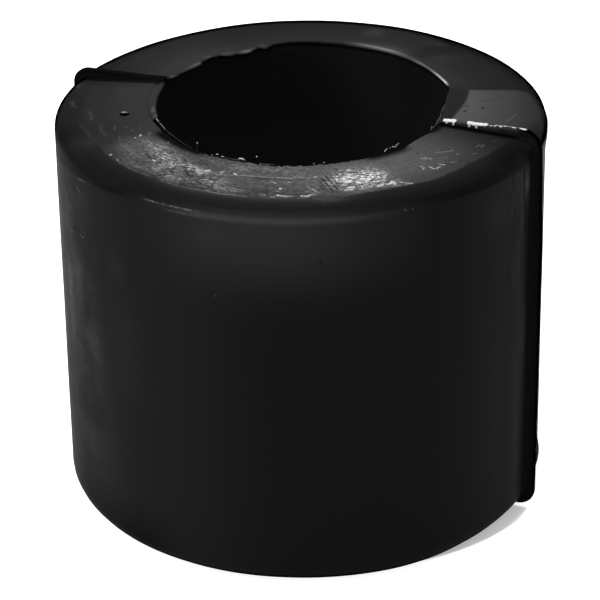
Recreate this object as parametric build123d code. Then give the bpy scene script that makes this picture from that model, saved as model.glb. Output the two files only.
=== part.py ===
from build123d import *
import os

# A moulded rubber bush: one thick sleeve with rounded rims. Its upper end face rises a little
# towards the bore. A parting bead stands along the joint of the two-part mould, and a small pip
# is left where the gate broke off. The mouths are clean, as a bar presses through them.
#
# Millimetres. The origin is on the bore's axis, in the lower end face. +Z runs up the axis and
# +X lies in the parting plane, so the bead stands at +X and at -X.

# Sleeve; the height is taken at the mouth, and the upper face falls from there to the wall
outer_d = 80.0
bore_d = 50.0
height = 68.1
upper_face_fall = 1.1
top_rim_r = 3.0
base_rim_r = 3.7

# Parting bead: a thin plate, proud of the sleeve all round, then trimmed flush at the lower end
bead_width = 1.0
bead_proud = 1.9
worn_bead_proud = 1.3
bead_rise = 0.75
bead_drop = 0.8
bead_corner_r = 4.6
bead_root_r = 0.5

# Gate pip on the upper end face
pip_d = 2.4
pip_height = 0.6
pip_inset = 3.6
pip_angle = 211.5

outer_r = outer_d / 2
bore_r = bore_d / 2


def upper_face_z(radius):
    """Height of the upper end face at this distance from the axis."""
    return height - upper_face_fall * (radius - bore_r) / (outer_r - bore_r)


def sleeve():
    """The body without its bead and pip, as one turn of its section with the bore still filled."""
    shoulder_z = upper_face_z(outer_r)
    with BuildPart() as body:
        with BuildSketch(Plane.XZ) as section:
            with BuildLine():
                Polyline(
                    (0, 0),
                    (outer_r, 0),
                    (outer_r, shoulder_z),
                    (bore_r, height),
                    (0, height),
                    close=True,
                )
            make_face()
            fillet(section.vertices().sort_by_distance((outer_r, 0))[0], base_rim_r)
            fillet(section.vertices().sort_by_distance((outer_r, shoulder_z))[0], top_rim_r)
        revolve(axis=Axis.Z)
    return body.part


def bead_plate():
    """The whole bead as one plate in the parting plane; the sleeve and the bore cut through it."""
    left = -outer_r - worn_bead_proud
    right = outer_r + bead_proud
    top = height + bead_rise
    bottom = -bead_drop
    with BuildPart() as plate:
        with BuildSketch(Plane.XZ):
            with Locations(((left + right) / 2, (bottom + top) / 2)):
                RectangleRounded(right - left, top - bottom, bead_corner_r)
        extrude(amount=bead_width / 2, both=True)
    return plate.part


def gate_pip():
    """The low dome where the gate broke off, as the cap of a ball sunk in the end face."""
    seat_r = bore_r + pip_inset
    ball_r = (pip_d ** 2 / 4 + pip_height ** 2) / (2 * pip_height)
    ball = Pos(seat_r, 0, upper_face_z(seat_r) + pip_height - ball_r) * Sphere(ball_r)
    return ball.rotate(Axis.Z, pip_angle)


def bush():
    """The sleeve and its bead blended at the root, then bored through and trimmed at the base."""
    body = sleeve()
    plate = bead_plate()
    solid = body + plate
    solid = fillet(new_edges(body, plate, combined=solid), bead_root_r)
    core = Pos(0, 0, height / 2) * Cylinder(bore_r, 2 * height)
    below = Pos(0, 0, -height / 2) * Box(2 * outer_d, 2 * outer_d, height)
    return solid - core - below + gate_pip()


os.makedirs("parts", exist_ok=True)
export_step(bush(), "parts/bush.step")
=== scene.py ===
import bpy
import math
import numpy as np
from functools import reduce
from mathutils import Matrix, Vector, noise

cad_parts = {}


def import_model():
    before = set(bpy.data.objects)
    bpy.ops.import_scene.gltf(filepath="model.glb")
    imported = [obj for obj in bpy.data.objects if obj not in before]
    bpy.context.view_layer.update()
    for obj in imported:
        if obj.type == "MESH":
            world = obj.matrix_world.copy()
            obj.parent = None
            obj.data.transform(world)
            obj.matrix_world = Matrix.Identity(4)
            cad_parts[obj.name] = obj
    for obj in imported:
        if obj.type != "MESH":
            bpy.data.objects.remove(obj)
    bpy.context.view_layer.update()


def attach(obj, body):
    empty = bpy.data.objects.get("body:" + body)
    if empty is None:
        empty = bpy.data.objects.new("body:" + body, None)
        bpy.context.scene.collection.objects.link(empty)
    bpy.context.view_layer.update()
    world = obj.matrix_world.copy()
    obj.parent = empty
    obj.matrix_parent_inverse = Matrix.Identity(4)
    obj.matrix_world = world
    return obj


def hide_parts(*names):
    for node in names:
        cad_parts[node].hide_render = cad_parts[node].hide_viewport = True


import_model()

# Sizes are in millimetres and angles in degrees about +Z, until mesh_piece() turns them to metres.
MM = 0.001

# ---- sleeve
BORE_R = 25.0
OUTER_R = 40.0
MOUTH_Z = 68.1
FACE_EDGE_R, FACE_EDGE_Z = 36.06, 67.28
WALL_TOP_Z = 65.1
BASE_RIM_R = 3.7
LIP_ROOT_R = 27.5
FINE_START, FINE_END, FINE_STEP, COARSE_STEP = 229.0, 358.0, 0.25, 0.6
MAX_Z = 69.15
# How square the shoulder is: 2 is an ellipse and more is fuller
SHOULDER_POWER = (
    (0, 3), (12, 2.8), (25, 2.4), (40, 2.2), (60, 2.25), (85, 2.3), (115, 2.2), (135, 2.05), (162, 2.1),
    (176, 2.5), (192, 2.5), (205, 2.8), (222, 2.3), (236, 2), (350, 2), (360, 3),
)
# How far the wall stands out from a true cylinder, at its base and at its top
BASE_SWELL = (
    (0, 0.42), (20, 0.35), (200, 0.5), (212, 0.55), (240, 0.45), (265, 0.35), (288, 0.28), (303, 0.45),
    (316, 0.7), (324, 0.65), (334, 0.3), (345, 0.2), (360, 0.42),
)
TOP_SWELL = (
    (0, 0.3), (12, 0.2), (35, 0.2), (60, 0.15), (110, 0.15), (150, 0.05), (185, 0.15), (215, 0.2),
    (235, 0.1), (330, 0), (350, 0.1), (360, 0.3),
)
# The turn, 90 at the end face and 0 at the wall, where the outline's painted shade starts round the back
OUTLINE_SHADE_TURN = (
    (0, 14), (5, 22), (10, 30), (17, 38), (24, 46), (29, 52), (43, 64), (55, 72), (68, 79), (90, 84),
    (113, 85), (135, 85), (158, 80), (170, 74), (180, 66), (190, 56), (198, 48), (204, 41), (208, 34),
    (211, 25), (213.5, 12), (215.5, 0), (358, 0), (360, 14),
)
# The radius where the wear of the end face stops, and the height where the shoulder's painted shade stops
WEAR_EDGE = (
    (0, 36.1), (226, 35.2), (228, 35.2), (234, 35.75), (240, 35.95), (250, 36), (262, 36.1), (275, 36.1),
    (290, 36), (298, 36.25), (304, 35.9), (310, 35.5), (316, 35.6), (322, 35.75), (328, 36), (334, 35.8),
    (340, 35.6), (346, 35.9), (360, 36.1),
)
SHOULDER_FOOT = (
    (0, 64.6), (208, 61), (212.6, 61.8), (218, 62.5), (224, 63.4), (230, 63.9), (237, 64.5), (241, 64.4),
    (245, 64.6), (249, 65), (330, 65.2), (337, 64.9), (342, 64.8), (346.5, 64.6), (352.5, 64.3),
    (356.4, 64.6), (360, 64.6),
)
# The inner edge of the upper end face, torn flash included: (angle, radius)
MOUTH_EDGE = (
    (0, 23.85), (5, 23.9), (10, 23.6), (15, 23.65), (20, 23.8), (25, 24.05), (30, 24.7), (35.5, 25.3),
    (36.5, 25), (45, 24.9), (55, 25), (65, 25.2), (75, 25.4), (90, 25.3), (100, 25.3), (110, 25.4),
    (118, 25.5), (121.5, 25.5), (123.5, 25), (125, 24.3), (127, 23.3), (128.5, 23.8), (129.5, 24.6),
    (131.5, 23.8), (134, 22.9), (136.5, 22.3), (139, 22.6), (140.5, 23), (143, 22.8), (145, 23.3),
    (146.5, 24.3), (150, 24.4), (154, 24.2), (156.5, 23.9), (158.5, 23.2), (161, 22.9), (165, 22.9),
    (167, 23.1), (171, 23.3), (175, 23.4), (177.5, 23.8), (180, 24.2), (184, 23.7), (190, 23.4),
    (200, 23.4), (208, 23.5), (214, 23.6), (217.8, 23.8), (219, 24.8), (228, 24.7), (236, 24.9),
    (244, 25.2), (251, 25.3), (255, 25.3), (262, 25.2), (268, 25.3), (272, 24.7), (274, 25.2), (284, 25.4),
    (290, 25.3), (300, 25.2), (310, 25.1), (318, 25.2), (326, 25.2), (333, 25.3), (337, 24.8), (341, 24.5),
    (348, 24.6), (352, 25), (356, 24.3), (360, 23.85),
)
# Where it is ragged: start, end, soft ends, depth, and its noise's scale, seed and octaves
RAGGED_EDGE = (
    (122, 178, 2, 0.16, 0.9, 3, 4), (219, 356, 2, 0.12, 0.9, 3, 4), (180, 218, 2, 0.05, 0.9, 3, 4),
    (0, 36, 2, 0.04, 0.9, 3, 4), (256, 316, 4, 0.45, 3.0, 4, 2),
)


def wave(x, y, z, seed):
    """Smooth noise in -1..1 at a point, the same on each run."""
    return noise.noise(Vector((x + 17.3 * seed, y - 9.1 * seed, z + 5.7 * seed)))


def crumple(x, y, z, seed, octaves=4):
    """Noise with finer and finer detail, in about -1..1."""
    total, size, scale = 0.0, 1.0, 1.0
    for octave in range(octaves):
        total += size * wave(x * scale, y * scale, z * scale, seed + octave)
        size *= 0.5
        scale *= 2.1
    return total


def rise(x, low, high):
    """0 at low, 1 at high and a smooth rise between; low may be the greater one."""
    t = np.clip((x - low) / (high - low), 0, 1)
    return t * t * (3 - 2 * t)


def bell(x, at, wide):
    """1 at a place and 0 far from it on both sides."""
    return np.exp(-(((x - at) / wide) ** 2))


def lookup(x, table):
    """A value at x, from a table of (x, value) joined by straight lines."""
    places, values = zip(*table)
    return np.interp(x, places, values)


def around(angle, table):
    """A value at one angle, from a table of (angle, value) within 0 to 360."""
    return float(lookup(angle % 360, table))


def turned(angle, to):
    """Angle from one direction to another, in -180..180."""
    return (angle - to + 180) % 360 - 180


def span(angle, start, end, soft=2.0):
    """1 where the angle lies between start and end, and 0 outside, with soft ends."""
    off = abs(turned(angle, (start + end) / 2))
    return rise(off, (end - start) / 2 + soft / 2, (end - start) / 2 - soft / 2)


def spot(angle, radius):
    """x and y at an angle and a distance from the axis."""
    a = math.radians(angle)
    return radius * math.cos(a), radius * math.sin(a)


def blob(angle, radius, at_angle, at_radius, wide, deep):
    """A soft bump round a place on the end face; wide and deep in millimetres."""
    beside = np.radians(turned(angle, at_angle)) * radius
    return bell(beside, 0, wide) * bell(radius, at_radius, deep)


def blobs(angle, radius, table):
    """Soft bumps added up, from a table of (angle, radius, half width, half depth, level)."""
    return sum(level * blob(angle, radius, at, r, wide, deep) for at, r, wide, deep, level in table)


def rough(angle, radius, scale, seed, octaves):
    """Crumpled noise round a circle of this radius."""
    x, y = spot(angle, radius)
    return crumple(x * scale, y * scale, 0, seed, octaves)


def line_mark(angle, radius, points, wide):
    """1 on a line through (angle, radius) points on the end face, 0 beyond its width in mm."""
    here, *ends = [r * np.exp(1j * math.radians(a)) for a, r in ((angle, radius), *points)]
    near = np.inf
    for start, end in zip(ends, ends[1:]):
        t = np.clip(((here - start) / (end - start)).real, 0, 1)
        near = np.minimum(near, abs(here - start - t * (end - start)))
    return rise(near, wide * 1.05, wide * 0.45)


def face_outwards(obj):
    """Turns the faces over where the closed mesh's volume comes out negative."""
    mesh = obj.data
    co = np.zeros(len(mesh.vertices) * 3)
    mesh.vertices.foreach_get("co", co)
    mesh.calc_loop_triangles()
    tri = np.zeros(len(mesh.loop_triangles) * 3, int)
    mesh.loop_triangles.foreach_get("vertices", tri)
    a, b, c = co.reshape(-1, 3)[tri.reshape(-1, 3)].transpose(1, 0, 2)
    if np.einsum("ij,ij->i", a, np.cross(b, c)).sum() < 0:
        mesh.flip_normals()


def mesh_piece(name, rings, values, closed_rows=False, second=None):
    """A piece from closed rings of points (rows x ring x 3, mm). Open rows get end caps.

    values has numbers for the points, and second says which faces take the second material.
    """
    rings = np.asarray(rings, float)
    rows, count = rings.shape[:2]
    grid = np.arange(rows * count).reshape(rows, count)
    low, high = (grid, np.roll(grid, -1, 0)) if closed_rows else (grid[:-1], grid[1:])
    faces = np.stack([low, np.roll(low, -1, 1), np.roll(high, -1, 1), high], -1).reshape(-1, 4).tolist()
    if not closed_rows:
        faces += [grid[0, ::-1].tolist(), grid[-1].tolist()]
    mesh = bpy.data.meshes.new(name)
    mesh.from_pydata((rings.reshape(-1, 3) * MM).tolist(), [], faces)
    for key, data in values.items():
        layer = mesh.attributes.new(key, "FLOAT", "POINT")
        layer.data.foreach_set("value", np.asarray(data, np.float32).ravel())
    if second is not None:
        mesh.polygons.foreach_set("material_index", np.asarray(second, np.int32).ravel())
    mesh.update()
    mesh.shade_smooth()
    obj = bpy.data.objects.new(name, mesh)
    bpy.context.scene.collection.objects.link(obj)
    face_outwards(obj)
    return obj


def face_z(radius):
    """Height of the upper end face at this radius."""
    fall = (MOUTH_Z - FACE_EDGE_Z) / (FACE_EDGE_R - BORE_R)
    return MOUTH_Z - (radius - BORE_R) * fall


def shoulder(angle, turn):
    """Radius and height on the shoulder. Turn is 90 degrees at the end face and 0 at the wall."""
    power = 2 / around(angle, SHOULDER_POWER)
    t = np.radians(turn)
    radius = FACE_EDGE_R + (OUTER_R - FACE_EDGE_R) * np.cos(t) ** power
    return radius, WALL_TOP_Z + (FACE_EDGE_Z - WALL_TOP_Z) * np.sin(t) ** power


def right_lean(radius):
    """How far the right bead stands off the parting plane on the end face, in mm."""
    return lookup(radius, ((25, -0.4), (36, 0.5), (39.5, 0.5), (41.5, 0.0)))


def swell(angle, z):
    """How far the wall stands out at this angle and height."""
    up = np.clip(z / 60, 0, 1)
    lip = 0.28 * span(angle, 1, 20, 9) * rise(z, 61.0, 64.0)
    return around(angle, BASE_SWELL) * (1 - up) + around(angle, TOP_SWELL) * up + lip


def mouth_edge_r(angle):
    """Radius of the torn inner edge of the end face at this angle."""
    radius = around(angle, MOUTH_EDGE) + 0.22 * span(angle, 278, 297, 4)
    for start, end, soft, depth, *look in RAGGED_EDGE:
        radius += depth * span(angle, start, end, soft) * rough(angle, BORE_R, *look)
    return radius + 0.22 * span(angle, 274, 292, 4) * max(0.0, rough(angle, BORE_R, 1.7, 6, 2))


# ---- tones of the sleeve
# Base colours by radius, by angle or by height. The black is the painted shade of the outline at the back.
OUTLINE_PAINTED_SHADE = 0.0006
# The face's grey by radius, paler toward the mouth as a painted sheen
FACE_GREY_AND_SHEEN = (
    (25, 0.0165), (26.5, 0.0155), (28, 0.012), (30, 0.0088), (32, 0.0066), (34, 0.0048), (35.6, 0.0035),
)
# At the left the face is paler, a painted light from that side
LEFT_LIT_GREY = (
    (25, 0.02), (26.5, 0.0195), (28, 0.0175), (30, 0.0155), (32, 0.012), (34, 0.0108), (36, 0.0095),
    (38.5, 0.0055), (39.5, 0.002),
)
# Darker parts of the face: start, end, soft ends, the radii of none and all of it, and how dark
FACE_SHADES = (
    (205, 225, 10, 33, 35, 0.12), (205, 228, 8, 36.5, 37.5, 0.14), (-4, 34, 8, 28.5, 26.5, 0.55),
)
# Painted sheen at the back, in soft spots: (angle, radius, half width, half depth, level)
BACK_PAINTED_SHEEN = (
    (58, 30, 1.4, 3.5, 0.006), (61, 30, 0.6, 2, 0.01), (69, 35.2, 1.5, 1.6, 0.011),
    (90, 33.5, 1.8, 2.4, 0.019), (80, 27.2, 5, 1.2, 0.014),
)
# The worn front, greyest between the two pale rubs
WORN_GREY = (
    (220, 0), (228, 0.005), (232, 0.018), (238, 0.031), (246, 0.036), (262, 0.04), (270, 0.058),
    (282, 0.066), (290, 0.072), (300, 0.072), (318, 0.074), (330, 0.07), (340, 0.046), (346, 0.026),
    (352, 0.01), (358, 0),
)
WORN_SHARE = ((25, 0.85), (26.5, 0.95), (30, 1.05), (32, 0.98), (34, 0.7), (36, 0.58))
# The polished patch by the right bead, pale with a painted reflection: its bounds by angle, and its colour
PATCH_INNER = ((0, 25.8), (6, 25.8), (10.5, 26.0), (17.7, 26.7), (30.1, 28.05), (40, 29))
PATCH_OUTER = ((0, 39.9), (15, 39.9), (21, 39.5), (25.4, 38.9), (29, 37.6), (31, 35.5))
POLISH_SHEEN = (
    (26, 0.068), (28, 0.064), (30, 0.055), (32, 0.044), (34, 0.037), (35.6, 0.029), (37.5, 0.023),
    (39.3, 0.016),
)
# The shoulder's grey at the back; in front a painted shade with a painted highlight at its outer edge
SHOULDER_BACK = ((36, 0.0045), (37.5, 0.0055), (39, 0.006), (40, 0.006))
SHOULDER_FRONT_SHADING = (
    (36.1, 0.01), (36.8, 0.0095), (37.6, 0.0082), (38.6, 0.0062), (39.3, 0.0075), (39.7, 0.012),
    (40, 0.014),
)
# Where the mouth's edge falls into shade: start, end, and the radii of full shade and of none
SHADED_EDGE = (
    (94, 104, 24.7, 26.7), (103, 119, 25.1, 26.8), (230, 257, 25.8, 27.0), (316, 334, 25.4, 27.4),
    (256, 316, 25.25, 25.75), (350, 357, 24.9, 26.3),
)
# Rubs on the end face: (angle, radius, half width, half depth, how pale). Each is wrinkled.
RUBS = (
    (236, 28.6, 1.8, 1.2, 0.04), (240.5, 28.3, 1.8, 1.5, 0.08), (245, 29.2, 2.2, 1.6, 0.08),
    (249, 30.2, 2.2, 1.6, 0.09), (254, 31.2, 2.4, 1.6, 0.08), (251, 33.2, 2.8, 1.3, 0.06),
    (236, 31.4, 2.2, 1.6, 0.025), (242, 31.8, 2.2, 1.5, 0.03), (253, 28.6, 2.2, 1.2, 0.035),
    (260, 33.6, 2.4, 1.2, 0.05), (266, 33.8, 2, 1, 0.03), (246, 34.6, 2.6, 0.8, 0.02),
    (257, 34.4, 1.8, 0.9, 0.05), (258, 29.8, 1.8, 0.9, 0.08), (262, 30.6, 1.6, 0.9, 0.11),
    (267, 30.4, 2, 0.9, 0.05), (269, 32.6, 2.2, 1, 0.09), (273, 34.4, 2.4, 0.9, 0.09),
    (243, 34.6, 2.6, 0.8, 0.035), (264, 27.2, 1.6, 0.8, 0.03), (272, 27.6, 1.8, 1.2, 0.035),
    (283, 27, 3, 1, 0.02), (292, 29, 2, 1.5, 0.02), (301, 31.6, 1.4, 2, 0.07),
    (305.5, 31.2, 1.7, 2.6, 0.17), (309.5, 31, 1.9, 2.3, 0.21), (313.5, 30.9, 1.9, 2.2, 0.17),
    (310, 33.6, 2.6, 0.9, 0.12), (316.5, 31.4, 1.4, 1.8, 0.09), (317.5, 34, 1.6, 0.8, 0.1),
    (296.5, 34, 1.6, 1, 0.03), (231, 30.8, 1.6, 1.5, 0.02), (233.5, 32.6, 1.8, 1.2, 0.022),
    (238.5, 33.2, 2.2, 1.2, 0.026), (232.5, 28.6, 1.4, 0.9, 0.024),
)
# Pale torn crumbs and scratches: (half width, how pale, then (angle, radius) points)
PALE_MARKS = (
    (0.2, 0.55, (229.2, 28.4), (229.7, 28.5)), (0.14, 0.35, (229.8, 29.5), (230.4, 29.6)),
    (0.12, 0.14, (229, 26.6), (230.6, 27.3)), (0.2, 0.6, (246.3, 31.7), (247.1, 31.7)),
    (0.14, 0.16, (240.1, 26.2), (240.9, 26.5)), (0.24, 0.4, (262.7, 31.2), (263.5, 31.1)),
    (0.24, 0.6, (263.2, 30.5), (264, 30.1), (264.8, 29.8)), (0.2, 0.45, (268.4, 29.7), (269.2, 29.3)),
    (0.2, 0.6, (272.5, 29.5), (273.5, 29.65)),
    (0.2, 0.13, (273.5, 29.65), (278.3, 29.5), (285.3, 29.5), (289.8, 29.6)),
    (0.12, 0.12, (289.8, 29.7), (293, 29.5), (297.4, 29.4)), (0.2, 0.55, (297.2, 29.35), (297.8, 29.2)),
    (0.16, 0.16, (274.5, 27.5), (275.7, 26.8), (276.3, 25.8)), (0.16, 0.4, (284.6, 30.9), (286, 31.2)),
    (0.24, 0.6, (287.3, 32.9), (287.8, 32.9)), (0.16, 0.4, (286.7, 33.6), (287.1, 33.6)),
    (0.16, 0.3, (282.7, 34.9), (284, 35)), (0.18, 0.28, (285.4, 35.5), (286.6, 35.5)),
    (0.24, 0.55, (286.9, 35), (289.4, 35.25)), (0.2, 0.35, (289.4, 35.2), (290.8, 35.2)),
    (0.24, 0.6, (293, 35.2), (294.4, 35.35), (295.4, 35)), (0.16, 0.35, (295.6, 34.9), (296.6, 34.6)),
    (0.18, 0.35, (289.3, 30.75), (289.8, 30.75)), (0.14, 0.2, (294.7, 32.2), (297.5, 34.3)),
    (0.26, 0.45, (307.7, 28.3), (308.5, 28.2)), (0.3, 0.4, (304.3, 34.2), (306.4, 34.2)),
    (0.28, 0.4, (310.5, 32), (311.7, 32.1)), (0.26, 0.45, (313, 34.2), (314.4, 34.2)),
    (0.26, 0.6, (315.7, 34.3), (317.9, 34.2)), (0.2, 0.45, (317.2, 33.6), (317.9, 34.2), (317.4, 34.8)),
    (0.16, 0.35, (319.3, 34.3), (320, 34.8), (320.9, 35.2), (321.8, 35.5)),
    (0.14, 0.14, (313.4, 34.6), (317.2, 35.1), (321.8, 35.6)),
    (0.16, 0.3, (329, 31.6), (329.4, 32.1), (328.5, 32.6)),
    (0.16, 0.45, (330.9, 32.6), (331.1, 33.4), (331.9, 33.6)), (0.14, 0.35, (332.2, 33.5), (333.7, 33.3)),
    (0.14, 0.35, (334.1, 32.6), (334.4, 33.1), (335, 33.4)),
    (0.14, 0.16, (331.8, 29.8), (333.7, 29.6), (334.1, 30.2), (332.5, 30.2)),
    (0.14, 0.16, (334, 30.5), (335.2, 30.7)), (0.14, 0.12, (338.4, 29.6), (340.7, 30.4), (342.6, 31)),
    (0.18, 0.3, (342.8, 31), (343.2, 31.1)), (0.16, 0.16, (342.4, 32.3), (342.8, 32.4)),
    (0.16, 0.14, (338.2, 31.8), (338.7, 31.8)), (0.14, 0.14, (337.1, 33.4), (339.1, 34)),
    (0.14, 0.1, (353.1, 27.8), (353.8, 27.9)), (0.14, 0.05, (355.4, 34.3), (356.3, 34.8)),
    (0.14, 0.07, (349, 33.1), (351.2, 33.3), (351.9, 33.9), (350, 33.9)),
    (0.14, 0.1, (345.2, 34.1), (346.3, 34.3)), (0.16, 0.05, (14.6, 35.4), (11.9, 34.8), (8.2, 34.1)),
    (0.3, 0.03, (198.7, 37.6), (201.9, 37)), (0.5, 0.018, (205.4, 34.7), (208.5, 34), (211.7, 34.3)),
    (0.45, 0.016, (216.4, 33), (220, 33.4), (223.6, 33.1)), (0.16, 0.05, (219.9, 29.4), (221.6, 29.3)),
    (0.14, 0.06, (223.4, 28.7), (224.6, 28.9)), (0.16, 0.05, (219, 31), (221, 31.3)),
    (0.14, 0.05, (223.6, 27.3), (224.8, 27.6)), (0.35, 0.03, (186.2, 38.3), (188.6, 38.1)),
    (0.9, 0.006, (188.5, 31), (192.5, 29.6)), (0.45, 0.012, (212.6, 36.1), (217.1, 35.7), (221.9, 35.4)),
    (0.22, 0.04, (226.6, 31.4), (229, 32)), (0.2, 0.45, (234.9, 35.3), (235.4, 35.3)),
    (0.2, 0.3, (238.6, 35.4), (239.1, 35.4)), (0.14, 0.05, (240, 35.6), (246, 35.9), (252, 35.6)),
    (0.14, 0.07, (250, 34.6), (256, 35.2), (260.5, 35.2)),
    (0.16, 0.08, (256.1, 35.8), (262.3, 35.9), (267.9, 35.8)),
    (0.2, 0.12, (268.5, 35.7), (272.6, 35.85), (276, 35.85), (279.7, 35.8)),
)
# Dark cuts and pits: (half width, how dark, then points)
DARK_MARKS = (
    (0.22, 0.6, (278.5, 29.95), (283.9, 30.1), (289.8, 30.2), (294, 30.1)),
    (0.19, 0.8, (299.1, 29.8), (301.2, 34.2)), (0.15, 0.7, (298.4, 31), (300.1, 33.6)),
    (0.19, 0.8, (300.5, 29.1), (302.4, 33.5)), (0.16, 0.6, (302.1, 29), (303.1, 32.9)),
    (0.13, 0.4, (298.2, 32.2), (299.4, 34)), (0.3, 0.6, (247.6, 30.9), (244.2, 31.4), (241.6, 30.9)),
    (0.35, 0.5, (253.5, 28.6), (257, 30.6), (260.2, 32.2)),
    (0.25, 0.5, (263, 33.2), (268, 34.2), (271.5, 35.3)), (0.2, 0.5, (252, 31.8), (256.5, 33)),
    (0.2, 0.4, (312, 33.2), (315.5, 33)), (0.3, 0.95, (16.6, 27.2), (16.9, 27.35)),
    (0.26, 0.9, (12, 27.1), (12.5, 27.3)), (0.28, 0.95, (16.1, 29.8), (16.5, 30)),
    (0.5, 0.12, (21.8, 29.9), (23.4, 31.4), (24.6, 33)),
)
# Light on the mouth's edge: (angle, radius, half width, half depth, how pale)
EDGE_GLINTS = (
    (38.5, 25.12, 1, 0.16, 0.36), (41.5, 25.08, 1.2, 0.16, 0.38), (45.5, 25.06, 1.2, 0.16, 0.28),
    (49, 25.1, 1.4, 0.17, 0.14), (54, 25.25, 1.8, 0.22, 0.06), (60, 25.35, 1.6, 0.24, 0.11),
    (66, 25.7, 2, 0.5, 0.05), (71, 26, 2, 0.6, 0.045), (76.5, 26.1, 1.6, 0.5, 0.11),
    (81, 26.2, 1.8, 0.55, 0.1), (86.5, 26.3, 1.8, 0.6, 0.09), (91, 26.5, 1.6, 0.6, 0.03),
    (127.5, 24.8, 0.5, 0.8, 0.03), (132, 24.1, 0.6, 0.35, 0.05), (135.8, 23.2, 1, 0.5, 0.14),
    (144, 24, 1.4, 0.5, 0.03), (152, 24.8, 0.8, 0.4, 0.03), (160.3, 23.5, 1, 0.35, 0.06),
    (164.5, 23.4, 1.2, 0.35, 0.03), (176.2, 23.85, 0.5, 0.2, 0.06), (209.5, 23.9, 0.7, 0.3, 0.03),
    (212, 24.1, 0.8, 0.35, 0.045), (217.4, 23.95, 0.5, 0.35, 0.075),
)
# The slope of the photo's view: its camera looks down at 27 degrees
VIEW_SLOPE = 0.51


def wear_edge(angle):
    """Radius where the wear of the end face stops, ragged in front."""
    return around(angle, WEAR_EDGE) + 0.07 * span(angle, 228, 350, 6) * rough(angle, 30, 1, 8, 3)


def edge_shade(angle, radius):
    """How far the mouth's rounded edge falls into shade there, 0 to 1."""
    radius = radius + 0.35 * span(angle, 254, 318, 6) * rough(angle, BORE_R, 1.3, 9, 3)
    return np.max([
        span(angle, start, end, 6) * rise(radius, none, full) for start, end, full, none in SHADED_EDGE
    ], axis=0)


def patch_at(angle, radius):
    """1 on the polished patch beside the right bead, which takes a painted reflection."""
    inner, outer = around(angle, PATCH_INNER), around(angle, PATCH_OUTER)
    on = rise(radius, inner - 0.15, inner + 0.25) * rise(radius, outer + 0.3, outer - 0.4)
    return on * span(angle, 0.3, 30.6, 1.0)


def face_grey(angle, radius):
    """Base colour of the plain end face before any wear, with painted sheen and painted light at the left.
    """
    tone = lookup(radius, FACE_GREY_AND_SHEEN)
    tone += (lookup(radius, LEFT_LIT_GREY) - tone) * span(angle, 186, 240, 10)
    for start, end, soft, begins, full, dark in FACE_SHADES:
        tone *= 1 - dark * span(angle, start, end, soft) * rise(radius, begins, full)
    return tone + blobs(angle, radius, BACK_PAINTED_SHEEN)


def shoulder_grey(angle, radius):
    """The smooth shoulder's colour: as the face at back and left; painted shade and highlight in front."""
    front = lookup(radius, SHOULDER_FRONT_SHADING) + 0.003 * span(angle, 262, 306, 20)
    front += 0.010 * span(angle, 256, 306, 16) * bell(radius, 36.3, 0.7)
    front += 0.018 * blob(angle, radius, 300, 36.7, 2.2, 0.7)
    # Painted shade near the right bead
    front *= 1 - 0.45 * span(angle, 345, 375, 10)
    tone = front * span(angle, 222, 360, 12) + lookup(radius, SHOULDER_BACK) * span(angle, 0, 190, 10)
    tone += lookup(radius, LEFT_LIT_GREY) * span(angle, 186, 228, 10)
    return tone + 0.009 * blob(angle, radius, 199, 37.5, 1.2, 0.4)


def root_shade(angle, radius):
    """What the painted shade at the beads' roots leaves of a tone: narrow at the right, broad at the left.
    """
    beside = np.radians(turned(angle, 0)) * radius - right_lean(radius)
    narrow = bell(beside, 0.3 * rise(radius, 30, 36) - 1.05, 0.35)
    beside = np.radians(turned(angle, 180)) * radius
    foot = 1.96 + 0.078 * (radius - BORE_R)
    broad = rise(beside, -1.5, -1.0) * rise(beside, foot + 0.2, foot - 0.3)
    return (1 - 0.85 * narrow) * (1 - 0.8 * broad)


def outline_shade(angle, turn):
    """The outline's painted shade, 1 on the turned-away shoulder and grey again beyond the view's sight.
    """
    starts = around(angle, OUTLINE_SHADE_TURN)
    fades = 9 + 12 * span(angle, 12, 70, 8)
    sight = math.degrees(math.atan2(max(spot(angle, 1)[1], 0), VIEW_SLOPE))
    return (starts > 0) * rise(turn, starts + fades, starts - 2) * rise(turn, sight - 36, sight - 12)


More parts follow.
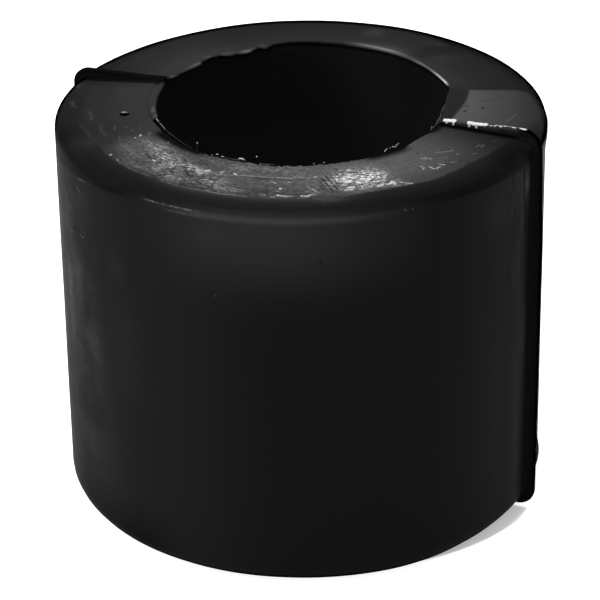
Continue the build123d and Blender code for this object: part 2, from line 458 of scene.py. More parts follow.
def face_tone(angle, radius, turn):
    """Base colour of the end face and shoulder, painted light and shade included, and how wrinkled it is.
    """
    wear = wear_edge(angle)
    beyond, just_beyond = rise(radius, wear - 0.1, wear + 0.1), rise(radius, wear, wear + 0.5)
    within = 1 - beyond
    grey = around(angle, WORN_GREY) * lookup(radius, WORN_SHARE)
    pale = 0.92 * blobs(angle, radius, RUBS)
    tone = face_grey(angle, radius) + (grey + pale) * within
    rub = 0.12 * span(angle, 231, 344, 14) + 0.2 * span(angle, 250, 300, 16) + 6.5 * pale
    rub = np.clip(rub, 0, 1) * within
    patch = patch_at(angle, radius)
    # The patch's painted reflection, darkened by a painted shade near the bead on the shoulder
    polish_sheen = lookup(radius, POLISH_SHEEN) * (1 - 0.4 * span(angle, -10, 10, 6) * rise(radius, 36.5, 38.5))
    tone += (polish_sheen - tone) * patch
    rub = np.clip(rub + 0.03 * patch + 0.05 * span(angle, 190, 232, 10), 0, 1)
    over = np.where(patch > 0.5, tone, shoulder_grey(angle, radius))
    tone += (over - tone) * beyond
    # The whole end is lifted a little: least on the worn front, and less beyond the wear
    tone += 0.0075 - (0.0035 + 0.0025 * span(angle, 214, 359, 12)) * just_beyond
    tone += 0.0025 * span(angle, 72, 172, 16) - 0.006 * span(angle, 236, 342, 14) * within
    tone *= (1 - 0.95 * edge_shade(angle, radius)) * root_shade(angle, radius)
    tone += blobs(angle, radius, EDGE_GLINTS)
    tone *= 1 - 0.5 * span(angle, 184, 218.5, 1.5) * bell(radius, 24.72, 0.13)
    for wide, dark, *points in DARK_MARKS:
        tone *= 1 - dark * line_mark(angle, radius, points, wide)
    return tone + (OUTLINE_PAINTED_SHADE - tone) * outline_shade(angle, turn), rub


def pale_marks(angle, radius):
    """How pale the torn crumbs and scratches on the end face are there."""
    marks = [pale * line_mark(angle, radius, points, 0.8 * wide) for wide, pale, *points in PALE_MARKS]
    return np.max(marks, axis=0)


# The wall is one grey up to HIDDEN_END, where the photo doesn't show it
HIDDEN_GREY, HIDDEN_END = 0.0115, 180
WALL_GREY = (
    (195, 0.0095), (208, 0.01), (216, 0.011), (224, 0.0115), (236, 0.0118), (252, 0.0128), (264, 0.0138),
    (272, 0.0135), (284, 0.0108), (292, 0.0104), (316, 0.0098), (332, 0.01), (340, 0.0115), (348, 0.013),
    (353, 0.018), (357, 0.005), (360, 0.004),
)
WALL_SHARE = ((0, 0.85), (6, 0.92), (14, 1), (66, 1))
# What the lower wall keeps of its grey: darker at the left in a painted shade, deepest at its edge
LOWER_SHARE = (
    (185, 1), (205, 0.62), (209, 0.4), (212, 0.45), (214, 0.6), (219, 0.64), (224, 0.66), (230, 0.74),
    (233, 1), (236, 1.15), (241, 1.26), (245, 1.1), (250, 1),
)
# A dulled painted sheen under the shoulder in front
WALL_PAINTED_SHEEN = (
    (252, 0), (260, 0.0035), (268, 0.0115), (276, 0.0195), (284, 0.023), (292, 0.023), (300, 0.018),
    (308, 0.01), (316, 0.006), (324, 0),
)
SHEEN_SHARE = ((47, 0), (50.5, 0.04), (54, 0.27), (57.5, 0.68), (61, 0.92), (64.6, 0.96))
# The painted highlight line atop the wall, and how much paler the wall is than the shaded shoulder
TOP_OF_WALL_HIGHLIGHT = (
    (256, 0), (264, 0.008), (270, 0.024), (284, 0.024), (298, 0.022), (306, 0.015), (312, 0.007), (318, 0),
)
BELOW_SHOULDER = (
    (208, 2.8), (216, 1.6), (228, 0.72), (240, 0.28), (255, 0.12), (275, 0), (300, 0), (320, 0.08),
    (335, 0.33), (345, 0.42), (356, 0.45),
)
# Dull smudges on the wall: (angle, height, half width in degrees, half height, how pale)
SMUDGES = (
    (356.2, 61, 1.1, 2.2, 0.022), (355.5, 33.5, 1.3, 7, 0.01), (353.5, 16, 2.5, 9, 0.003),
    (343, 60, 4, 3, 0.004), (228, 43.5, 3.2, 4.5, 0.016), (223, 40, 2, 7, 0.012), (236, 34, 3.5, 5, 0.01),
    (230, 20, 4, 5, 0.007), (248, 38, 6, 7, 0.004), (246, 52, 3, 2.5, 0.004), (226, 52, 2.4, 2.5, 0.006),
    (272, 62, 3, 1.5, 0.004),
)


def wall_tone(angle, z):
    """The wall's base colour: a dulled painted sheen under the front shoulder and a painted highlight
    line.
    """
    tone = HIDDEN_GREY if angle % 360 < HIDDEN_END else around(angle, WALL_GREY)
    # A painted highlight on the wall just beside the right bead
    tone = (tone + 0.012 * span(angle, 4, 14, 8)) * lookup(z, WALL_SHARE)
    tone *= 1 + (around(angle, LOWER_SHARE) - 1) * rise(z, 36, 24)
    tone *= 1 - 0.17 * span(angle, 347, 357, 4)
    tone += around(angle, WALL_PAINTED_SHEEN) * lookup(z, SHEEN_SHARE)
    # In front, a painted shade on the shoulder above the highlight line
    tone *= 1 - 0.45 * span(angle, 250, 326, 8) * rise(z, 65.5, 66.3)
    tone += around(angle, TOP_OF_WALL_HIGHLIGHT) * bell(z, 65.25, 0.42)
    for at, height, wide, tall, pale in SMUDGES:
        tone += pale * bell(turned(angle, at), 0, wide) * bell(z, height, tall)
    # Above its foot the shoulder takes a painted shade at the left and right
    foot = around(angle, SHOULDER_FOOT)
    on_shoulder = rise(z, foot - 0.25, foot + 0.15)
    tone *= 1 + around(angle, BELOW_SHOULDER) * (1 - on_shoulder)
    shaded = np.clip(span(angle, 196, 252, 8) + span(angle, 326, 360, 8), 0, 1)
    # Near the base at the left, a painted shade
    low = span(angle, 190, 258, 20) * rise(z, 11, 1)
    return tone * (1 - 0.7 * low) * (1 - 0.4 * shaded * on_shoulder)


def scratches(angle, z):
    """Where the wall is scratched: above 0 slanting, on the left; below 0 upright, on the right."""
    left = span(angle, 205, 238, 10) * rise(z, 4, 20) * rise(z, 64, 61)
    right = span(angle, 347, 357.5, 3) * rise(z, 44, 54) * rise(z, 66, 64)
    return left - right


# Rows of the sleeve's section: lip, end face, shoulder, wall, base rim, and back up the bore
LIP = np.linspace(0, 1, 13) ** 1.15
FACE = np.linspace(LIP_ROOT_R, FACE_EDGE_R, 40)[1:]
TURN = np.array((88.2, 83, *range(78, -1, -6)))
WALL = (64.8, 64.5, 64.2, 63.8, 63.2, 62.3, 61, 58.5, 55.5, 52, 48, 42, 34, 26, 18, 11, 6, BASE_RIM_R)
UNDER = np.radians(np.linspace(0, 90, 7)[1:])
BORE = ((33, 0), (27, 0), (BORE_R + 0.3, 0), *[(BORE_R, z) for z in (0.3, 20, 40, 56, 64, 67)])
FACE_ROWS = len(LIP) + len(FACE)
TOP_ROWS = FACE_ROWS + len(TURN)
WALL_ROWS = TOP_ROWS + len(WALL) + len(UNDER)
FACING = np.concatenate([np.full(FACE_ROWS, 90.0), TURN])


def section(angle):
    """Radii and heights of the sleeve's section at this angle, row by row."""
    edge = mouth_edge_r(angle)
    top = float(face_z(edge))
    # The clean strip at the left has a groove and a raised inner edge; the edge is thin all round
    strip = span(angle, 182, 219, 1.5)
    lip = edge + (LIP_ROOT_R - edge) * LIP
    lip_z = face_z(lip) + strip * (0.12 * rise(lip, 25.1, 24.2) - 0.22 * bell(lip, 24.95, 0.2))
    lip_z = lip_z - 0.16 * bell(lip, edge, 0.14)
    over_r, over_z = shoulder(angle, TURN)
    bore_r, bore_z = zip(*BORE)
    r = np.concatenate([
        lip, FACE, over_r, np.full(len(WALL), OUTER_R), OUTER_R - BASE_RIM_R * (1 - np.cos(UNDER)),
        bore_r, (min(BORE_R, edge + 0.5), edge + 0.12, edge),
    ])
    z = np.concatenate([
        lip_z, face_z(FACE), over_z, WALL, BASE_RIM_R * (1 - np.sin(UNDER)),
        bore_z, (67.35, top - 0.45, top - 0.3),
    ])
    return r, z


def section_values(angle, r, z):
    """Tone, wrinkling, pale marks and scratches of the section's rows."""
    tone, rub = face_tone(angle, r[:TOP_ROWS], FACING)
    wall = wall_tone(angle, z[:WALL_ROWS])
    # In front the shoulder's lowest rows take the wall's tone; the base rim's underside is painted shade
    low = (z[:TOP_ROWS] < 66.4) * span(angle, 222, 359.5, 12) * (angle < 359.5)
    tone += (wall[:TOP_ROWS] - tone) * low
    wall[-len(UNDER):] *= 1 - 0.9 * rise(np.degrees(UNDER), 35, 45)
    # Darker at the right, at the back near the top, and under the mouth's edge: painted shade
    bore = np.full(len(r) - WALL_ROWS, 0.03 - 0.013 * span(angle, -40, 75, 30))
    bore = bore * (1 - 0.48 * span(angle, 30, 200, 16) * rise(z[WALL_ROWS:], 48, 60))
    bore[-3:] = 0.0035
    rest = np.zeros(len(r) - TOP_ROWS)
    return {
        "tone": np.concatenate([tone, wall[TOP_ROWS:], bore]),
        "rub": np.concatenate([rub, rest]),
        "mark": np.concatenate([pale_marks(angle, r[:TOP_ROWS]), rest]),
        "scratch": np.where(r > OUTER_R - 0.1, scratches(angle, z), 0.0),
    }


def section_points(angle, r, z, values):
    """The section's points, with the fine relief of the end face and the swelling of the wall."""
    points = []
    for k in range(len(r)):
        (x, y), height = spot(angle, r[k]), z[k]
        if k < TOP_ROWS:
            height += 0.05 * wave(x / 9, y / 9, height / 9, 1) + 0.25 * values["mark"][k]
            height += 0.06 * values["rub"][k] * crumple(x * 0.9, y * 0.9, 0, 5)
        inner = FACE_EDGE_R if height > WALL_TOP_Z else 33.0
        if k < WALL_ROWS and r[k] > inner:
            out = swell(angle, height) + 0.05 * wave(x / 16, y / 16, height / 16, 2)
            out = 1 + out * min(1.0, (r[k] - inner) / 3.3) / r[k]
            x, y = x * out, y * out
        points.append((x, y, max(0.0, height)))
    return points


def sleeve():
    """The rubber body in one closed mesh: torn mouth edge, crowned face, rims, wall and bore."""
    fine = np.arange(FINE_START, FINE_END, FINE_STEP)
    coarse = np.arange(FINE_END, FINE_START + 360, COARSE_STEP)
    angles = np.concatenate([fine, coarse]) % 360
    rings, values = [], {"tone": [], "rub": [], "mark": [], "scratch": []}
    for angle in angles:
        r, z = section(angle)
        found = section_values(angle, r, z)
        for key, column in values.items():
            column.append(found[key])
        rings.append(section_points(angle, r, z, found))
    # The shoulder's turned-away rows and the underside of the base rim take the second material:
    # a rubber without reflection, so that their painted shade stays near black
    starts = np.array([around(angle, OUTLINE_SHADE_TURN) for angle in angles])[:, None]
    rows = np.full(len(rings[0]), 90.0)
    rows[:TOP_ROWS] = FACING
    second = (rows <= starts) & (starts > 0)
    second[:, WALL_ROWS - 5:WALL_ROWS] = True
    return mesh_piece("sleeve", rings, values, True, second)


# ---- parting bead
BEAD_HALF_WIDTH = 0.5
# Crest lines: (radius, z) corners, their rounding radii and the points' spacing
RIGHT_CREST = ((24.7, 68.85), (41.5, 68.7), (42.0, 50.0), (42.0, 0.0), (38.0, 0.0)), (3.3, 20.0, 2.9), 0.12
LEFT_CREST = ((24.2, 68.55), (36.0, 68.3), (41.4, 68.1), (41.4, 0.0), (38.0, 0.0)), (20.0, 2.9, 3.2), 0.2
# How torn the line along the right crest is, by radius
TORN_LINE = (
    (29, 0), (29.4, 0.72), (33, 0.62), (35.4, 0.7), (37.4, 0.62), (38, 0.85), (38.6, 0.85), (39.2, 0),
)
# Which point of the bead's section that line runs on, and where torn legs hang from the crest
TORN_LINE_POINT = ((29, 6.0), (33, 6.6), (37, 8.0))
TORN_LEGS = (25.8, 27.0, 29.5, 30.7)
LEFT_BEAD_GREY = 0.0045


def even_points(line, spacing, least=2):
    """The same line with points at even distances."""
    run = np.concatenate([[0], np.cumsum(np.linalg.norm(np.diff(line, axis=0), axis=1))])
    at = np.linspace(0, run[-1], max(least, int(run[-1] / spacing)))
    return np.stack([np.interp(at, run, column) for column in line.T], 1)


def path_with_corners(corners, radii, spacing):
    """A polyline with its inner corners rounded, as evenly spaced points."""
    corners = np.array(corners, float)
    points = [corners[0]]
    for before, corner, after, radius in zip(corners, corners[1:], corners[2:], radii):
        before, after = before - corner, after - corner
        before, after = before / np.linalg.norm(before), after / np.linalg.norm(after)
        half = math.acos(np.clip(before @ after, -1, 1)) / 2
        middle = (before + after) / np.linalg.norm(before + after)
        centre = corner + middle * radius / math.sin(half)
        reach = radius / math.tan(half)
        start, end = corner + before * reach - centre, corner + after * reach - centre
        for t in np.linspace(0, 1, 16):
            arm = start * (1 - t) + end * t
            points.append(centre + arm / np.linalg.norm(arm) * radius)
    return even_points(np.array([*points, corners[-1]]), spacing)


def sleeve_outline(angle):
    """The sleeve's section as (radius, z) points, from the mouth over the shoulder to the base."""
    points = [(r, face_z(r)) for r in np.linspace(BORE_R - 0.6, FACE_EDGE_R, 60)]
    points += [shoulder(angle, turn) for turn in np.linspace(90, 0, 40)]
    points += [(OUTER_R + swell(angle, z), z) for z in np.linspace(WALL_TOP_Z, BASE_RIM_R, 260)]
    for a in np.radians(np.linspace(0, 90, 40)):
        points.append((OUTER_R - BASE_RIM_R * (1 - math.cos(a)), BASE_RIM_R * (1 - math.sin(a))))
    return np.array(points)


def torn_clumps(x):
    """1 where the right bead's crest is torn in clumps, at this distance from the axis."""
    return rise(x, 25.0, 25.3) * rise(x, 27.4, 27.1) + rise(x, 28.9, 29.2) * rise(x, 32.6, 32.0)


def crest_tear(k, x, clump, line):
    """How torn the right bead is at point k of its section."""
    legs = sum(bell(x, at, 0.22) for at in TORN_LEGS)
    ragged = {3: 0.7 * legs, 4: 0.1 + 0.8 * legs, 5: 0.55, 10: 0.55, 11: 0.2}.get(k, 5 <= k <= 10)
    on_line = abs(k - lookup(x, TORN_LINE_POINT)) < 1.2
    return max(1.15 * clump * ragged, line * on_line)


def right_bead_tone(k, x, z):
    """Base colour of the right bead at point k: its crest is black on the wall and grey on the face."""
    on_face = rise(z, 66.5, 68.0) * rise(x, 38.3, 36.9)
    between = rise(x, 27.0, 27.5) * rise(x, 29.1, 28.7) * (z > 67)
    fades = 1 - 0.65 * rise(x, 32, 36)
    # On the face the near side's upper part takes a painted light and the roots a painted shade
    crest = 0.018 + 0.04 * between if 5 < k < 12 else -0.006
    lit = {3: 0.01 * fades, 4: 0.042 * fades, 5: 0.04}.get(k, crest)
    return (0.0009 if 4 < k < 12 else 0.0078) + on_face * lit


def bead(name, side, crest):
    """One side's strip of parting bead, from the mouth over the shoulder and down the wall."""
    right = side > 0
    skin = sleeve_outline(0 if right else 180)
    rings, tears, tones = [], [], []
    for x, z in path_with_corners(*crest):
        foot = skin[np.argmin(((skin - (x, z)) ** 2).sum(1))]
        out = np.array((x, z)) - foot
        tall = np.linalg.norm(out)
        out = out / tall
        torn = right and z > 67
        clump, line = (torn_clumps(x), lookup(x, TORN_LINE)) if torn else (0.0, 0.0)
        tall += (0.05 + 0.1 * clump) * crumple(x * 0.8, z * 0.3, side, 11)
        drift = 0.06 * wave(x / 6, z / 6, side, 12) + 0.1 * clump * wave(x * 0.9, z, side, 13)
        if right and z > 60:
            drift += float(right_lean(x) * rise(z, 62, 67))
        half = BEAD_HALF_WIDTH * (1 + 0.12 * wave(x / 4, z / 4, side, 14))
        half *= 1 + 0.3 * clump * wave(x * 1.1, z, side, 15)
        flank = (
            (half + 0.6, -0.5), (half + 0.28, 0.02), (half + 0.1, 0.2), (half + 0.02, 0.45),
            (half, tall * 0.7), (half * 0.92, tall - 0.16), (half * 0.7, tall - 0.04), (half * 0.3, tall),
        )
        ring = []
        for k, (y, up) in enumerate([*[(-y, up) for y, up in flank], *reversed(flank), (0.0, -0.8)]):
            px, pz = foot + out * up
            if clump and 5 <= k <= 10:
                pz += 0.12 * clump * crumple(x * 2.3, y * 2.3, z, 16, 3)
            ring.append((side * px, y + drift, min(max(0.0, pz), MAX_Z)))
            tears.append(crest_tear(k, x, clump, line))
            tones.append(right_bead_tone(k, x, z) if right else LEFT_BEAD_GREY)
        rings.append(ring)
    return mesh_piece(name, rings, {"torn": tears, "tone": tones})


def bead_flap():
    """The thin flap of flash that stands out behind the right bead's crest, near the foot."""
    rings, tones = [], []
    for t in np.linspace(0, 1, 20):
        stand = math.sin(math.pi * t)
        ring = []
        for k in range(10):
            x, y = spot(36 * k, 1)
            x = 41.8 + 0.27 * stand + (0.05 + 0.18 * stand) * x
            ring.append((x, 0.75 + 0.12 * y, 7.2 + 6.4 * t))
            tones.append(0.07 if 1 < k < 9 else 0.002)
        rings.append(ring)
    return mesh_piece("bead_flap", rings, {"tone": tones})


# ---- gate pip, flash sliver, burrs
def gate_pip():
    """The low torn dome where the gate broke off: a painted highlight on top, painted shade in front."""
    angle, radius, wide, tall, sunk = 211.1, 28.75, 0.9, 0.4, 0.25
    cx, cy = spot(angle, radius)
    rings, tones = [], []
    for t in np.linspace(0, 1, 12)[:-1]:
        ring = []
        for k in range(40):
            cos, sin = spot(9 * k, 1)
            r = wide * math.cos(t * math.pi / 2) * (1 + 0.14 * wave(cos, sin, t, 21))
            dx, dy = r * cos, 0.8 * r * sin
            x, y = cx + dx, cy + dy
            z = float(face_z(radius)) - sunk + (tall + sunk) * math.sin(t * math.pi / 2) ** 0.8
            ring.append((x, y, z + 0.06 * wave(x * 2, y * 2, t, 22)))
            toward_front = dx * 0.39 - dy * 0.92
            pale = rise(t, 0.5, 0.8) * rise(toward_front, 0.2, 0.0)
            tones.append(0.002 + 0.012 * rise(-toward_front, 0.2, 0.6) + 0.30 * pale)
        rings.append(ring)
    return mesh_piece("gate_pip", rings, {"tone": tones})


def strand(name, points, thick, tone, flat=1.0):
    """A torn shred of flash: a thin tapering body along a line of (angle, radius, z) places."""
    line = even_points(np.array([(*spot(angle, radius), z) for angle, radius, z in points]), 0.15, 6)
    rings, tones = [], []
    for i, p in enumerate(line):
        along = line[min(i + 1, len(line) - 1)] - line[max(i - 1, 0)]
        along = along / np.linalg.norm(along)
        side = np.cross(along, (0, 0, 1))
        side = side / max(1e-6, np.linalg.norm(side))
        up = np.cross(side, along) * flat
        t = i / (len(line) - 1)
        size = thick * (0.25 + 0.75 * math.sin(math.pi * (0.12 + 0.8 * t)))
        size *= 1 + 0.35 * wave(*(p * 2), 31)
        turns = [spot(45 * k, size) for k in range(8)]
        rings.append([p + side * across + up * high for across, high in turns])
        tones += [tone * (1 + 0.6 * wave(p[0] * 1.3, p[1] * 1.3, 0, 32))] * len(turns)
    return mesh_piece(name, rings, {"tone": tones})


# Flash left across the mouth's front, as (angle, radius, height above the mouth) places, and the
# shreds round the mouth, as half thickness, tone and such places
SLIVER = (
    (217.5, 24.1, -0.2), (222, 24.0, -0.25), (231, 24.0, -0.3), (238, 24.1, -0.3), (244, 24.4, -0.3),
    (250, 24.7, -0.35),
)
SHREDS = (
    (0.09, 0.3, (217.2, 24.1, -0.1), (219.5, 24, -0.12), (221.5, 23.95, -0.15)),
    (0.06, 0.2, (222.5, 23.95, -0.15), (225, 23.9, -0.18), (227.5, 23.95, -0.2), (229.5, 24, -0.22)),
    (0.05, 0.06, (251.7, 24.8, -0.6), (251.7, 24.55, -0.2), (251.5, 24.5, 0.8)),
    (0.11, 0.3, (251.6, 24.5, 0.7), (251.4, 24.45, 0.95)),
    (0.12, 0.45, (260.6, 24.7, -0.05), (261.4, 24.5, 0)),
    (0.08, 0.25, (259.3, 25.2, -0.1), (259.9, 25.1, 0)),
    (0.1, 0.35, (263, 24.9, -0.1), (264.3, 24.8, -0.05)),
    (0.05, 0.12, (265, 24.95, -0.1), (268, 25, -0.1), (270, 24.8, -0.1), (273, 24.7, -0.1)),
    (0.12, 0.5, (269.8, 24.55, 0), (271, 24.6, 0.05), (272.3, 24.7, 0)),
    (0.04, 0.01, (277.2, 24.9, -0.4), (277.1, 24.65, 0), (277, 24.6, 0.6)),
    (0.11, 0.45, (277, 24.6, 0.6), (276.9, 24.6, 0.85)),
    (0.07, 0.1, (278, 25.2, -0.1), (281, 25.3, -0.1), (284, 25.2, -0.1)),
    (0.08, 0.22, (297.4, 25, -0.1), (298.2, 24.9, 0)), (0.08, 0.22, (301, 24.9, -0.1), (301.8, 24.8, 0)),
    (0.08, 0.45, (325.4, 24.5, -0.1), (326.6, 24.2, 0), (327.8, 24, 0.05)),
    (0.06, 0.22, (328.4, 24.1, 0), (329.4, 24, 0)), (0.1, 0.5, (330, 24, 0), (330.8, 24, 0)),
    (0.07, 0.4, (330.6, 24.3, -0.1), (332.4, 23.9, 0.05), (334, 23.7, 0.1)),
    (0.06, 0.18, (352, 24.2, -0.2), (354, 24.1, -0.1), (356.2, 24.2, -0.1)),
    (0.08, 0.28, (353.6, 24, 0), (354.4, 23.9, 0)),
    (0.06, 0.12, (357.5, 24, -0.2), (361, 23.8, -0.1), (365, 23.75, -0.1), (368, 23.5, -0.1)),
    (0.06, 0.1, (368.5, 23.4, -0.2), (372, 23.5, -0.15), (378, 23.7, -0.2)),
)
# Fine scrapes on the wall at the left: (angle, z) points
SCRAPES = (
    ((218.7, 59.1), (220.7, 58.8), (224, 58.5)), ((230.2, 61.7), (232.9, 61.4)),
    ((231.5, 63.5), (235, 63.9)), ((231.2, 53.9), (232.4, 53.4), (233.3, 53.7)),
    ((224.5, 53.2), (226, 52.7), (227.4, 52.9)), ((215.6, 47.6), (219, 47.9)),
    ((215.1, 45.6), (217.5, 45), (220.4, 45.2)), ((219.2, 42.7), (223.5, 42.9), (227.7, 42.3)),
    ((224.9, 57.4), (227.6, 56.8)),
)


def at_mouth(places):
    """Places with their heights counted from the mouth, in the part's frame."""
    return [(angle, radius, MOUTH_Z + up) for angle, radius, up in places]


pieces = [
    sleeve(),
    bead_flap(),
    bead("bead_right", 1, RIGHT_CREST),
    bead("bead_left", -1, LEFT_CREST),
    gate_pip(),
    strand("flash_sliver", at_mouth(SLIVER), 0.06, 0.03, 1.6),
]
for n, (thick, tone, *places) in enumerate(SHREDS):
    pieces.append(strand(f"shred_{n + 1:02d}", at_mouth(places), thick, tone))
for n, line in enumerate(SCRAPES):
    places = [(angle, OUTER_R + swell(angle, z) + 0.02, z) for angle, z in line]
    pieces.append(strand(f"scrape_{n + 1:02d}", places, 0.06, 0.085))


# ---- materials
class Shader:
    """Adds and joins nodes in the tree of a material or a world."""

    def __init__(self, owner):
        owner.use_nodes = True
        self.tree = owner.node_tree

    def fill(self, node, values):
        """Sets or joins a node's inputs, by name or by number."""
        for key, value in values.items():
            if isinstance(value, bpy.types.NodeSocket):
                self.tree.links.new(value, node.inputs[key])
            else:
                node.inputs[key].default_value = value
        return node

    def node(self, kind, values=(), **settings):
        made = self.tree.nodes.new(kind)
        for key, value in settings.items():
            setattr(made, key, value)
        return self.fill(made, dict(values))

    def math(self, operation, *values):
        return self.node("ShaderNodeMath", enumerate(values), operation=operation).outputs[0]

    def plus(self, *terms):
        return reduce(lambda a, b: self.math("ADD", a, b), terms)

    def minus(self, a, b):
        return self.math("SUBTRACT", a, b)

    def times(self, *factors):
        return reduce(lambda a, b: self.math("MULTIPLY", a, b), factors)

    def swing(self, value, gain, middle=0.5):
        return self.times(self.minus(value, middle), gain)

    def ramp(self, value, low, high, to_low=0.0, to_high=1.0):
        values = {"Value": value, "From Min": low, "From Max": high, "To Min": to_low, "To Max": to_high}
        return self.node("ShaderNodeMapRange", values, interpolation_type="SMOOTHSTEP").outputs["Result"]

    def noise(self, place, scale, detail=2.0, rough=0.5):
        values = {"Vector": place, "Scale": scale, "Detail": detail, "Roughness": rough}
        return self.node("ShaderNodeTexNoise", values).outputs["Fac"]

    def streaks(self, u, v, stretch, depth, *look):
        """Noise in two directions on the surface, squeezed by the two factors of stretch."""
        return self.noise(self.combine(self.times(u, stretch[0]), self.times(v, stretch[1]), depth), *look)

    def combine(self, *values):
        return self.node("ShaderNodeCombineXYZ", enumerate(values)).outputs[0]

    def attribute(self, name):
        return self.node("ShaderNodeAttribute", attribute_name=name).outputs["Fac"]

    def place(self):
        """x, y and z in the object's own space, in millimetres."""
        place = self.node("ShaderNodeTexCoord").outputs["Object"]
        split = self.node("ShaderNodeSeparateXYZ", {0: place})
        return [self.math("DIVIDE", out, MM) for out in split.outputs]

    def radius(self, x, y):
        return self.math("SQRT", self.plus(self.times(x, x), self.times(y, y)))


# Distances round the axis are measured in mm at this radius
ROUND_R = 31.0
# Thin flecked scratches with a painted highlight at the shoulder's foot: (height, start, end, how pale)
FOOT_SCRATCH_HIGHLIGHTS = ((65.75, -103.5, -91.0, 0.05), (65.05, -97.5, -90.0, 0.035))
# Specks on the wall: (angle, height, radius in mm, how pale)
SPECKS = (
    (273.4, 51.9, 0.26, 0.035), (271.2, 32.4, 0.24, 0.03), (276.9, 26.9, 0.24, 0.03),
    (289.7, 28.6, 0.22, 0.03), (297, 58.6, 0.3, -0.015), (316.3, 65.5, 0.24, 0.05), (318, 65.4, 0.2, 0.05),
)
# What green and blue get for each unit of red
GREEN_SHARE, BLUE_SHARE = 1.01, 1.02
PALEST = 0.82
BUMP_DEPTH = 0.03


def wrinkles(s, along, across):
    """Wrinkles drawn out round the axis, finer strokes along them, slanting ones and cracks."""
    wrinkle = s.streaks(along, across, (1.0, 1.35), 0.0, 1.25, 5.0, 0.72)
    fold = s.streaks(along, across, (0.7, 1.7), 11.0, 0.9, 4.0, 0.65)
    crack = s.ramp(s.math("ABSOLUTE", s.minus(fold, 0.5)), 0.008, 0.035, -2.2, 0.35)
    stroke = s.streaks(along, across, (0.35, 3.0), 3.0, 0.8, 3.0, 0.6)
    leaning = s.plus(along, s.times(across, 0.9))
    slant = s.streaks(leaning, s.minus(across, along), (2.2, 0.4), 5.0, 0.9, 2.0, 0.6)
    return s.plus(s.swing(wrinkle, 12.0), s.swing(stroke, 3.0), s.swing(slant, 4.0), crack)


def wall_scratches(s, along, mm, z):
    """Scratches of the wall: slanting where the mask is above 0, upright where it is below."""
    mask = s.attribute("scratch")
    slope = s.minus(s.times(along, 0.85), s.times(z, 0.53))
    down_slope = s.plus(s.times(along, 0.53), s.times(z, 0.85))
    slanting = s.streaks(slope, down_slope, (0.35, 1.6), 9.0, 1.0, 2.0, 0.5)
    upright = s.streaks(along, z, (1.6, 0.12), 4.0, 1.0, 3.0, 0.6)
    cloud = s.swing(s.noise(mm, 0.16, 3.0, 0.6), 3.0)
    left = s.times(s.math("MAXIMUM", mask, 0.0), s.plus(cloud, s.ramp(slanting, 0.64, 0.72, 0.0, 0.9)))
    right = s.times(s.math("MAXIMUM", s.times(mask, -1.0), 0.0), s.swing(upright, 4.0, 0.47))
    return left, right


def foot_scratch_highlights(s, along, mm, z):
    """The thin flecked lines at the foot of the shoulder: scratches with a painted highlight."""
    angle = s.math("DIVIDE", along, ROUND_R)
    for height, start, end, pale in FOOT_SCRATCH_HIGHLIGHTS:
        near = s.minus(1.0, s.ramp(s.math("ABSOLUTE", s.minus(z, height)), 0.04, 0.16))
        started = s.ramp(angle, math.radians(start - 1.5), math.radians(start + 1.5))
        not_over = s.ramp(angle, math.radians(end + 2), math.radians(end - 2))
        flecked = s.ramp(s.noise(mm, 1.3, 2.0), 0.4, 0.6, 0.3, 1.6)
        yield s.times(near, started, not_over, flecked, pale)


def specks(s, mm):
    """The few specks on the wall."""
    for angle, height, size, pale in SPECKS:
        values = {0: mm, 1: (*spot(angle, OUTER_R), height)}
        gap = s.node("ShaderNodeVectorMath", values, operation="DISTANCE").outputs["Value"]
        yield s.ramp(gap, size, 0.4 * size, 0.0, pale)


def rubber(name, specular):
    """Black moulded rubber. Its tone and wear come from the mesh, with fine wrinkles added here."""
    material = bpy.data.materials.new(name)
    s = Shader(material)
    x, y, z = s.place()
    mm = s.combine(x, y, z)
    along = s.times(s.math("ARCTAN2", y, x), ROUND_R)
    across = s.minus(s.radius(x, y), z)
    rub = s.attribute("rub")
    swing = s.plus(s.times(wrinkles(s, along, across), rub), *wall_scratches(s, along, mm, z))
    # The tone carries painted light and shade as well as the rubber's own grey
    level = s.times(s.attribute("tone"), s.math("POWER", 2.0, swing))

    # Torn crumbs, broken up, small bright flecks where the face is rubbed hard, and the torn crest
    broken = s.ramp(s.noise(mm, 2.4, 2.0, 0.6), 0.36, 0.56, 0.25, 1.0)
    fleck = s.streaks(along, across, (1.0, 1.8), 7.0, 2.4, 2.0, 0.6)
    flecks = s.times(s.ramp(fleck, 0.64, 0.72), s.ramp(rub, 0.35, 0.9), 0.22)
    # The torn crest's white is pale flash with a painted highlight on it
    torn = s.ramp(s.plus(s.noise(mm, 1.6, 3.0, 0.6), s.times(s.attribute("torn"), 0.5)), 0.74, 0.92)
    level = s.plus(level, s.times(s.attribute("mark"), broken), flecks, s.times(torn, 0.72))
    level = s.plus(level, *foot_scratch_highlights(s, along, mm, z), *specks(s, mm))
    level = s.math("MAXIMUM", 0.0, s.math("MINIMUM", level, PALEST))

    grain = s.plus(s.noise(mm, 3.0, 3.0), s.times(swing, 0.6))
    bump = {"Strength": 0.25, "Distance": BUMP_DEPTH * MM, "Height": grain}
    s.fill(s.tree.nodes["Principled BSDF"], {
        "Base Color": s.combine(level, s.times(level, GREEN_SHARE), s.times(level, BLUE_SHARE)),
        "Roughness": s.plus(0.46, s.times(rub, 0.2)),
        "Specular IOR Level": specular,
        "Normal": s.node("ShaderNodeBump", bump).outputs["Normal"],
    })
    return material


skin = rubber("rubber", 0.003)
# The second material has no reflection: the outline's and the base rim's painted shade stay near black
shade_skin = rubber("rubber_painted_shade", 0.0)
bead_skin = rubber("rubber_bead", 0.0)
for piece in pieces:
    piece.data.materials.append(bead_skin if piece.name.startswith("bead") else skin)
    piece.data.materials.append(shade_skin)
    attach(piece, "root")
    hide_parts("bush")


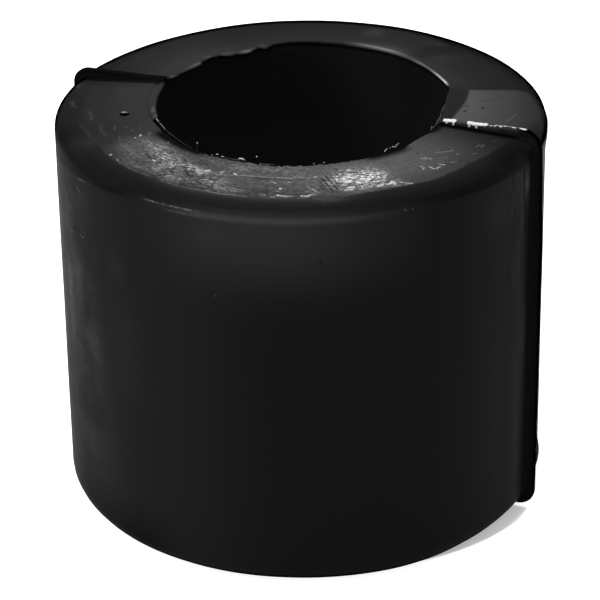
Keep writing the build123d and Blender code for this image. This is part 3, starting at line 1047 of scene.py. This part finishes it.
# ---- floor, light and camera
FLOOR_HALF = 1200.0
FLOOR_GREY = 0.85
FLOOR_GLOW, SHADE_GLOW = 0.9, 0.36
# The shade lies in a wedge between two angles, out to a distance that grows with the angle
SHADE_START, SHADE_END = 316.0, 358.9
SHADE_INNER, SHADE_REACH, SHADE_WIDENS, SHADE_MOST = 33.0, 37.5, 0.11, 41.4
WORLD_LEVEL = 0.35
# Square lamps: name, azimuth from the camera's right, elevation, distance and width in metres, watts
LAMPS = (("key", 175, 35, 0.9, 0.5, 4.0), ("top", 140, 89.4, 4.0, 0.13, 98.0))
LAMPS_AIM = Vector((0, 0, 0.04))
# The camera was fitted to the photo. Its place is in mm and its focal length in the photo's pixels.
CAMERA_PLACE = (157.206, -368.809, 239.738)
CAMERA_TURN, CAMERA_PAN, CAMERA_PITCH, CAMERA_ROLL = 23.0865, -0.0762, 27.4676, -0.9643
FOCAL_PIXELS, PHOTO_PIXELS, SENSOR_WIDTH = 2660.94, 600, 36.0


def place_in_scene(name, data):
    """An object with this data, linked to the scene."""
    obj = bpy.data.objects.new(name, data)
    bpy.context.scene.collection.objects.link(obj)
    return obj


def seen_directly(s):
    """1 for rays from the camera, off a gloss or through glass, and 0 for those that give light."""
    path = s.node("ShaderNodeLightPath")
    seen = s.math("MAXIMUM", path.outputs["Is Camera Ray"], path.outputs["Is Glossy Ray"])
    return s.math("MAXIMUM", seen, path.outputs["Is Transmission Ray"])


def floor_shade(s):
    """1 in the wedge at the lower right where the ground glows less, so that a shadow shows."""
    x, y, _ = s.place()
    radius = s.radius(x, y)
    angle = s.plus(s.times(s.math("ARCTAN2", y, x), 180 / math.pi), 360.0)
    reach = s.plus(s.times(s.minus(angle, SHADE_START), SHADE_WIDENS), SHADE_REACH)
    reach = s.math("MINIMUM", reach, SHADE_MOST)
    return s.times(
        s.ramp(angle, SHADE_START, SHADE_START + 4),
        s.ramp(angle, SHADE_END, SHADE_END - 1.5),
        s.ramp(s.minus(reach, radius), -0.2, 0.3),
        s.ramp(radius, SHADE_INNER, SHADE_INNER + 1),
    )


def floor():
    """A white ground that keeps the shadow, and is plain white to the camera beyond it."""
    mesh = bpy.data.meshes.new("floor")
    half = FLOOR_HALF * MM
    corners = [(-half, -half, 0), (half, -half, 0), (half, half, 0), (-half, half, 0)]
    mesh.from_pydata(corners, [], [(0, 1, 2, 3)])
    material = bpy.data.materials.new("floor")
    mesh.materials.append(material)
    s = Shader(material)
    matt = s.fill(s.tree.nodes["Principled BSDF"], {
        "Base Color": (FLOOR_GREY, FLOOR_GREY, FLOOR_GREY, 1), "Roughness": 0.9, "Specular IOR Level": 0.0,
    })
    strength = s.minus(FLOOR_GLOW, s.times(floor_shade(s), FLOOR_GLOW - SHADE_GLOW))
    glow = s.node("ShaderNodeEmission", {"Strength": s.times(seen_directly(s), strength)})
    both = s.node("ShaderNodeAddShader", {0: matt.outputs[0], 1: glow.outputs[0]})
    s.fill(s.tree.nodes["Material Output"], {"Surface": both.outputs[0]})
    place_in_scene("floor", mesh)


def world():
    """Even light from all round; white where it is seen directly or in a reflection."""
    made = bpy.data.worlds.new("studio")
    bpy.context.scene.world = made
    s = Shader(made)
    strength = s.ramp(seen_directly(s), 0.0, 1.0, WORLD_LEVEL, 1.0)
    s.fill(s.tree.nodes["Background"], {"Color": (1, 1, 1, 1), "Strength": strength})


def lamp(name, azimuth, elevation, distance, width, watts):
    """A square area lamp that looks at the bush."""
    data = bpy.data.lights.new(name, "AREA")
    data.shape = "SQUARE"
    data.size = width
    data.energy = watts
    across, up = spot(elevation, distance)
    place = Vector((*spot(azimuth + CAMERA_TURN, across), up))
    obj = place_in_scene(name, data)
    obj.location = place + LAMPS_AIM
    obj.rotation_euler = (-place).to_track_quat("-Z", "Y").to_euler()


def camera():
    """The camera that matches the photograph: fitted place, turn and focal length."""
    data = bpy.data.cameras.new("camera")
    data.sensor_width = SENSOR_WIDTH
    data.lens = FOCAL_PIXELS / PHOTO_PIXELS * SENSOR_WIDTH
    pan, pitch, roll = map(math.radians, (CAMERA_PAN, CAMERA_PITCH, CAMERA_ROLL))
    ahead = Vector((math.sin(pan) * math.cos(pitch), math.cos(pan) * math.cos(pitch), -math.sin(pitch)))
    right = Vector((math.cos(pan), -math.sin(pan), 0))
    up = right.cross(ahead)
    side = math.cos(roll) * right + math.sin(roll) * up
    top = math.cos(roll) * up - math.sin(roll) * right
    axes = Matrix((side, top, -ahead)).transposed()
    turn = Matrix.Rotation(math.radians(CAMERA_TURN), 4, "Z")
    obj = place_in_scene("camera", data)
    obj.matrix_world = Matrix.Translation(Vector(CAMERA_PLACE) * MM) @ turn @ axes.to_4x4()
    bpy.context.scene.camera = obj


floor()
world()
for settings in LAMPS:
    lamp(*settings)
camera()
bpy.context.scene.view_settings.view_transform = "Standard"
